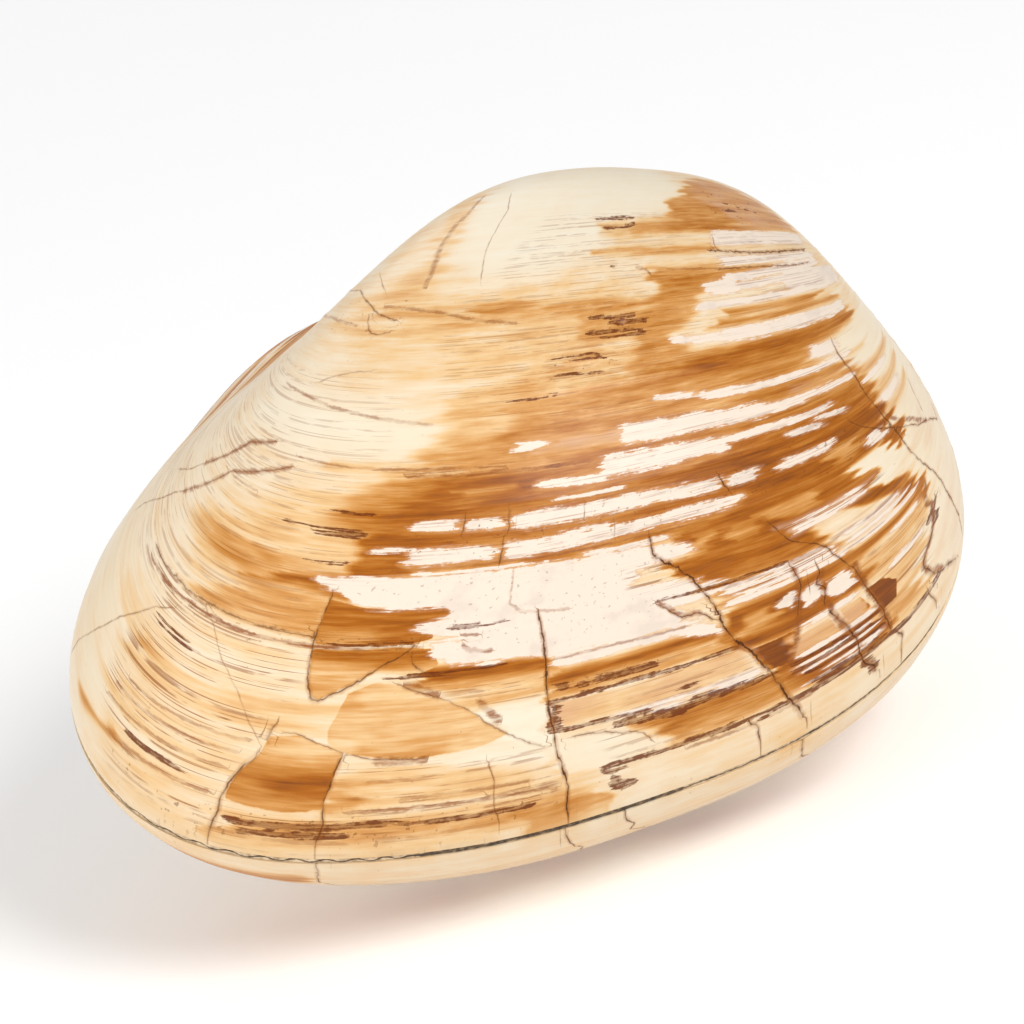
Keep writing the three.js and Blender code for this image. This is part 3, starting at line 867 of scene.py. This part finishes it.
def paint(valve, marks):
    mesh = valve.data
    angle, growth = read_float(mesh, "angle"), read_float(mesh, "growth")
    for name, values in mark_fields(angle, growth, marks).items():
        layer = mesh.attributes.new(name, "FLOAT", "POINT")
        layer.data.foreach_set("value", values.astype(np.float32))
    turn = np.radians(angle)
    grain = np.stack([np.cos(turn) * RING_RADIUS, np.sin(turn) * RING_RADIUS, growth * GROWTH_MM], axis=1)
    layer = mesh.attributes.new("grain", "FLOAT_VECTOR", "POINT")
    layer.data.foreach_set("vector", (grain * MM).astype(np.float32).ravel())
    print(valve.name, "painted with", len(mesh.attributes), "attributes")


paint(upper, UPPER_MARKS)
paint(lower, LOWER_MARKS)

# %% [markdown]
# ## The polished mineral
# One shader serves both valves. The tone picks a colour from a ramp, white and rust are cut over it
# with ragged edges, then come fine growth lines, specks, streaks and cracks. The polish is a low
# roughness that the cracks and specks break. Noise sizes are in millimetres along and across a ring.

# %% Small helpers for shader nodes
def srgb(red, green, blue):
    def linear(c):
        c = c / 255
        return c / 12.92 if c <= 0.04045 else ((c + 0.055) / 1.055) ** 2.4

    return (linear(red), linear(green), linear(blue), 1.0)


STUDIO_BRIGHTNESS = 1.30


def mineral(red, green, blue):
    seen = srgb(red, green, blue)
    return tuple(c / STUDIO_BRIGHTNESS for c in seen[:3]) + (1.0,)


class Shader:
    def __init__(self, name):
        self.material = bpy.data.materials.new(name)
        self.material.use_nodes = True
        self.tree = self.material.node_tree
        self.surface = self.tree.nodes["Principled BSDF"]

    def add(self, kind, *sources, **settings):
        made = self.tree.nodes.new(kind)
        for key, value in settings.items():
            setattr(made, key, value)
        for socket, source in zip(made.inputs, sources):
            self.put(socket, source)
        return made

    def put(self, socket, source):
        if isinstance(source, bpy.types.NodeSocket):
            self.tree.links.new(source, socket)
        elif source is not None:
            socket.default_value = source

    def field(self, name):
        return self.add("ShaderNodeAttribute", attribute_name=name).outputs["Fac"]

    def math(self, operation, a, b=None, c=None):
        return self.add("ShaderNodeMath", a, b, c, operation=operation).outputs[0]

    def step(self, value, low, high):
        made = self.add("ShaderNodeMapRange", value, low, high, 0.0, 1.0, interpolation_type="SMOOTHSTEP")
        return made.outputs["Result"]

    def grain_noise(self, along, across, detail=4.0, roughness=0.55):
        place = self.add("ShaderNodeAttribute", attribute_name="grain").outputs["Vector"]
        scale = (1 / (along * MM), 1 / (along * MM), 1 / (across * MM))
        mapped = self.add("ShaderNodeMapping", place)
        mapped.inputs["Scale"].default_value = scale
        made = self.add("ShaderNodeTexNoise", mapped.outputs[0])
        made.inputs["Scale"].default_value = 1.0
        made.inputs["Detail"].default_value = detail
        made.inputs["Roughness"].default_value = roughness
        return made.outputs["Fac"]

    def swing(self, along, across, detail=4.0, roughness=0.55):
        return self.math("SUBTRACT", self.grain_noise(along, across, detail, roughness), 0.5)

    def mix(self, factor, below, above):
        made = self.tree.nodes.new("ShaderNodeMix")
        made.data_type = "RGBA"
        self.put(made.inputs["Factor"], factor)
        self.put(made.inputs[6], below)
        self.put(made.inputs[7], above)
        return made.outputs[2]

    def ramp(self, value, stops, low, high):
        scaled = self.add("ShaderNodeMapRange", value, low, high, 0.0, 1.0).outputs["Result"]
        made = self.add("ShaderNodeValToRGB", scaled)
        elements = made.color_ramp.elements
        elements[0].position, elements[0].color = (stops[0][0] - low) / (high - low), stops[0][1]
        elements[1].position, elements[1].color = (stops[-1][0] - low) / (high - low), stops[-1][1]
        for tone, colour in stops[1:-1]:
            elements.new((tone - low) / (high - low)).color = colour
        return made.outputs["Color"]


# %% Colours as they look under the lamps
TONE_COLOURS = [
    (-0.6, mineral(255, 246, 228)), (-0.3, mineral(254, 240, 214)), (0.0, mineral(252, 231, 199)),
    (0.25, mineral(247, 206, 150)), (0.5, mineral(228, 167, 98)), (0.75, mineral(205, 135, 58)),
    (1.0, mineral(180, 102, 22)), (1.3, mineral(140, 74, 20)), (1.8, mineral(92, 46, 18)),
]
WHITE_CALCITE = mineral(253, 235, 216)
GREY_CALCITE = mineral(243, 225, 208)
MILKY_VEIL = mineral(230, 184, 148)
RUST_BROWN = mineral(114, 50, 6)
LINE_BROWN = mineral(152, 78, 18)
CRACK_DARK = mineral(74, 38, 10)
VEIN_GOLD = mineral(172, 98, 24)
STREAK_BROWN = mineral(152, 80, 20)
SPECK_BROWN = mineral(120, 66, 22)


# %% Layers of the shader
def ragged_cut(s, name, noises, low, high):
    field = s.field(name)
    rough_edge = s.math("MULTIPLY", noises, s.step(field, 0.0, 0.2))
    return s.step(s.math("ADD", field, rough_edge), low, high)


def line_cut(s, name, shift, thin, wide, strength):
    gap = s.math("ABSOLUTE", s.math("ADD", s.field(name + "_side"), shift))
    return s.math("MULTIPLY", s.math("SUBTRACT", 1.0, s.step(gap, thin, wide)), strength)


def polished_mineral(name):
    s = Shader(name)
    broad = s.swing(along=26.0, across=1.7, detail=3.0)
    fray = s.swing(along=8.0, across=0.55, detail=4.0)
    fine = s.swing(along=5.0, across=0.22, detail=2.0)
    nibble = s.swing(along=1.6, across=0.7, detail=4.0, roughness=0.65)
    cloud = s.swing(along=9.0, across=5.0, detail=3.0)
    torn = s.math("MULTIPLY_ADD", fray, 1.5, s.math("MULTIPLY", fine, 0.9))
    torn = s.math("MULTIPLY_ADD", nibble, 0.9, torn)

    inside = s.step(s.math("MULTIPLY_ADD", nibble, 0.5, s.field("plate_side")), -0.12, 0.12)
    jump = s.math("SUBTRACT", s.field("plate_tone"), s.field("tone"))
    ground = s.math("MULTIPLY_ADD", inside, jump, s.field("tone"))
    reach = s.math("MULTIPLY_ADD", s.step(ground, -0.1, 0.7), 0.55, 0.35)
    streaks = s.math("MULTIPLY_ADD", fray, 0.7, s.math("MULTIPLY", broad, 1.3))
    streaks = s.math("MULTIPLY_ADD", fine, 0.3, streaks)
    tone = s.math("MULTIPLY_ADD", streaks, reach, ground)
    tone = s.math("MULTIPLY_ADD", cloud, 0.35, tone)
    tone = s.math("MULTIPLY_ADD", s.step(ground, 0.1, 0.5), 0.05, tone)
    colour = s.ramp(tone, TONE_COLOURS, -0.6, 1.8)
    milk = s.math("MULTIPLY_ADD", cloud, 1.2, s.field("milk"))
    colour = s.mix(s.math("MULTIPLY", s.step(milk, 0.1, 1.0), 0.7), colour, MILKY_VEIL)

    veil = ragged_cut(s, "white", torn, 0.05, 0.5)
    colour = s.mix(s.math("MULTIPLY", veil, 0.5), colour, MILKY_VEIL)
    window = ragged_cut(s, "white", torn, 0.40, 0.56)
    calcite = s.mix(s.step(cloud, 0.02, 0.16), WHITE_CALCITE, GREY_CALCITE)
    colour = s.mix(window, colour, calcite)

    breaks = s.step(s.grain_noise(5.0, 0.9, 3.0), 0.38, 0.56)
    wide_thread = s.step(s.grain_noise(50.0, 0.6, 2.0, 0.6), 0.57, 0.63)
    thin_thread = s.step(s.grain_noise(40.0, 0.28, 1.0, 0.6), 0.57, 0.63)
    thread = s.math("MAXIMUM", s.math("MULTIPLY", wide_thread, 0.8), thin_thread)
    thread = s.math("MULTIPLY", s.math("MULTIPLY", thread, breaks), s.field("lines"))
    colour = s.mix(s.math("MULTIPLY", thread, 0.72), colour, LINE_BROWN)

    stain = ragged_cut(s, "rust", torn, 0.40, 0.60)
    patchy = s.math("MULTIPLY_ADD", s.step(s.math("ADD", nibble, fine), -0.12, 0.1), 0.42, 0.5)
    colour = s.mix(s.math("MULTIPLY", stain, patchy), colour, RUST_BROWN)

    dust = s.step(s.grain_noise(1.1, 0.7, 2.0, 0.6), 0.64, 0.71)
    dust = s.math("MULTIPLY", dust, s.field("specks"))
    pores = s.math("MULTIPLY", s.step(s.grain_noise(0.55, 0.45, 2.0), 0.73, 0.78), 0.6)
    dust = s.math("MAXIMUM", dust, pores)
    colour = s.mix(s.math("MULTIPLY", dust, 0.7), colour, SPECK_BROWN)

    kept = s.math("MULTIPLY_ADD", breaks, 0.6, 0.4)
    along = s.math("MULTIPLY", s.field("streak_near"), kept)
    streak = line_cut(s, "streak", s.math("MULTIPLY", nibble, 3.0), 0.3, 1.3, along)
    colour = s.mix(s.math("MULTIPLY", streak, 0.85), colour, STREAK_BROWN)
    worn = s.math("MULTIPLY_ADD", s.step(s.grain_noise(2.2, 2.2, 2.0), 0.36, 0.56), 0.5, 0.5)
    depth = s.math("MULTIPLY", s.field("crack_near"), worn)
    wander = s.math("MULTIPLY", s.swing(1.4, 1.4, 3.0), 5.0)
    halo = line_cut(s, "crack", wander, 0.8, 3.0, depth)
    crack = line_cut(s, "crack", wander, 0.25, 0.95, depth)
    colour = s.mix(s.math("MULTIPLY", halo, 0.6), colour, VEIN_GOLD)
    colour = s.mix(s.math("MULTIPLY", crack, 0.92), colour, CRACK_DARK)

    rough = s.math("MULTIPLY_ADD", crack, 0.4, 0.36)
    rough = s.math("MULTIPLY_ADD", dust, 0.2, rough)
    height = s.math("MULTIPLY_ADD", crack, -1.0, s.math("MULTIPLY", fine, 0.06))
    bump = s.tree.nodes.new("ShaderNodeBump")
    bump.inputs["Strength"].default_value = 0.35
    bump.inputs["Distance"].default_value = 0.15 * MM
    s.put(bump.inputs["Height"], height)
    s.put(s.surface.inputs["Base Color"], colour)
    s.put(s.surface.inputs["Roughness"], rough)
    s.put(s.surface.inputs["Normal"], bump.outputs[0])
    s.surface.inputs["Specular IOR Level"].default_value = 0.14
    s.surface.inputs["Coat Weight"].default_value = 0.04
    s.surface.inputs["Coat Roughness"].default_value = 0.12
    print(name, len(s.tree.nodes), "nodes")
    return s.material


upper.data.materials.append(polished_mineral("polished_upper_shell"))
lower.data.materials.append(polished_mineral("polished_lower_shell"))
for valve, node, slot in ((upper, "upper_valve", "upper_shell"), (lower, "lower_valve", "lower_shell")):
    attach(valve, "root")
    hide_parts(node)

# %% [markdown]
# ## Sediment in the seam
# Pale grit fills the groove between the two edges, and a dark line runs through it. It starts as a
# long thin grid whose rows go round a small flat-nosed section and whose columns go round the margin.
# Part of the edge was crimped, so the line waves there; further on it is a wide dark smear.

# %% Seam ring
RING_COLUMNS = 1400
RING_ROWS = 24
FILL_HALF = 0.54
FILL_DEPTH = 3.2
FILL_RECESS = 0.14
CRIMP_TURN = 4.2
CRIMP_HEIGHT = 0.30
CRIMP_FROM, CRIMP_TO = 205.0, 249.0
SMEAR_FROM, SMEAR_TO = 249.0, 301.0
THIN_LINE, SMEAR_LINE = 0.15, 0.42


def between(angle, start, end, blur=3.0):
    return float(soft_step((angle - start) / blur) * soft_step((end - angle) / blur))


def seam_line(angle, height):
    crimp = CRIMP_HEIGHT * between(angle, CRIMP_FROM, CRIMP_TO)
    drift = 0.18 * noise.noise(Vector((angle * 0.25, 7.0, 0.0)))
    wave = drift + crimp * math.sin(angle * 2 * math.pi / CRIMP_TURN)
    width = THIN_LINE + (SMEAR_LINE - THIN_LINE) * between(angle, SMEAR_FROM, SMEAR_TO)
    return (height - wave) / width


def seam_ring(name):
    bm = bmesh.new()
    bmesh.ops.create_grid(bm, x_segments=RING_COLUMNS, y_segments=RING_ROWS, size=0.5)
    line = bm.verts.layers.float.new("seam_line")
    for v in bm.verts:
        angle = (v.co.x + 0.5) * 360
        section = v.co.y * 2 * math.pi
        reach = float(margin_reach(np.array(angle)))
        grit = noise.noise(Vector((angle * 0.5, math.cos(section), math.sin(section))))
        depth = FILL_DEPTH / 2 * (1 - min(1.0, 1.6 * math.cos(section))) - 0.08 * grit
        x, y = margin_point(np.array(angle), (FILL_RECESS + depth) / reach)
        z = FILL_HALF * math.sin(section) * (0.94 + 0.06 * grit)
        v[line] = seam_line(angle, z)
        v.co = lie_down(np.array([float(x), float(y), z]))
    bmesh.ops.remove_doubles(bm, verts=bm.verts, dist=MERGE_REACH * MM)
    bmesh.ops.recalc_face_normals(bm, faces=bm.faces)
    for face in bm.faces:
        face.smooth = True
    mesh = bpy.data.meshes.new(name)
    bm.to_mesh(mesh)
    bm.free()
    ring = bpy.data.objects.new(name, mesh)
    bpy.context.scene.collection.objects.link(ring)
    print(name, len(mesh.polygons), "faces")
    return ring


GRIT_SPAN = (0.3, 0.7)
PALE_GRIT = [(0.3, srgb(150, 122, 88)), (0.5, srgb(198, 172, 138)), (0.7, srgb(226, 204, 170))]
DARK_GRIT = [(0.3, srgb(48, 36, 26)), (0.5, srgb(84, 68, 50)), (0.7, srgb(140, 116, 84))]
GRITS_PER_METRE = 1400.0


def gritty_sediment(name):
    s = Shader(name)
    place = s.add("ShaderNodeTexCoord").outputs["Object"]
    grit = s.add("ShaderNodeTexNoise", place)
    grit.inputs["Scale"].default_value = GRITS_PER_METRE
    grit.inputs["Detail"].default_value = 4.0
    grain = grit.outputs["Fac"]
    pale = s.ramp(grain, PALE_GRIT, *GRIT_SPAN)
    dark = s.ramp(grain, DARK_GRIT, *GRIT_SPAN)
    ragged = s.math("MULTIPLY_ADD", grain, 1.2, s.math("ABSOLUTE", s.field("seam_line")))
    mark = s.math("SUBTRACT", 1.0, s.step(ragged, 1.2, 2.0))
    s.put(s.surface.inputs["Base Color"], s.mix(mark, pale, dark))
    s.surface.inputs["Roughness"].default_value = 0.85
    bump = s.tree.nodes.new("ShaderNodeBump")
    bump.inputs["Strength"].default_value = 0.6
    bump.inputs["Distance"].default_value = 0.1 * MM
    s.put(bump.inputs["Height"], grain)
    s.put(s.surface.inputs["Normal"], bump.outputs[0])
    return s.material


sediment = seam_ring("seam_sediment")
sediment.data.materials.append(gritty_sediment("gritty_sediment"))
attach(sediment, "root")
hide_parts("seam_fill")

# %% [markdown]
# ## Floor and light
# The shell lies on a white sweep under soft light from all round. One lamp at the front right
# throws the soft shadow to the left; the other two cast none, like reflector cards.

# %% Floor
FLOOR_SIDE = 6.0
bm = bmesh.new()
bmesh.ops.create_grid(bm, x_segments=1, y_segments=1, size=FLOOR_SIDE / 2)
floor_mesh = bpy.data.meshes.new("floor")
bm.to_mesh(floor_mesh)
bm.free()
floor = bpy.data.objects.new("floor", floor_mesh)
bpy.context.scene.collection.objects.link(floor)
paper = Shader("white_paper")
paper.surface.inputs["Base Color"].default_value = srgb(250, 250, 250)
paper.surface.inputs["Roughness"].default_value = 0.9
paper.surface.inputs["Specular IOR Level"].default_value = 0.0
floor.data.materials.append(paper.material)

# %% Lamps and sky
WORLD_STRENGTH = 0.50
LAMPS = [
    ("key", (0.60, -0.76, 0.87), 0.5, 9.6, True),
    ("front_fill", (-0.95, -0.62, 0.45), 0.9, 7.0, False),
    ("back_wash", (-0.20, 1.25, 1.00), 1.2, 5.4, False),
]


def soft_lamp(name, place, side, power, casts_shadow):
    data = bpy.data.lights.new(name, "AREA")
    data.shape = "DISK"
    data.size = side
    data.energy = power
    data.use_shadow = casts_shadow
    lamp = bpy.data.objects.new(name, data)
    lamp.location = place
    lamp.rotation_euler = (Vector((0, 0, 0.03)) - Vector(place)).to_track_quat("-Z", "Y").to_euler()
    bpy.context.scene.collection.objects.link(lamp)


for lamp in LAMPS:
    soft_lamp(*lamp)
world = bpy.data.worlds.new("studio")
world.use_nodes = True
world.node_tree.nodes["Background"].inputs["Color"].default_value = (1, 1, 1, 1)
world.node_tree.nodes["Background"].inputs["Strength"].default_value = WORLD_STRENGTH
bpy.context.scene.world = world
bpy.context.scene.view_settings.view_transform = "Standard"
print(len(LAMPS), "lamps")
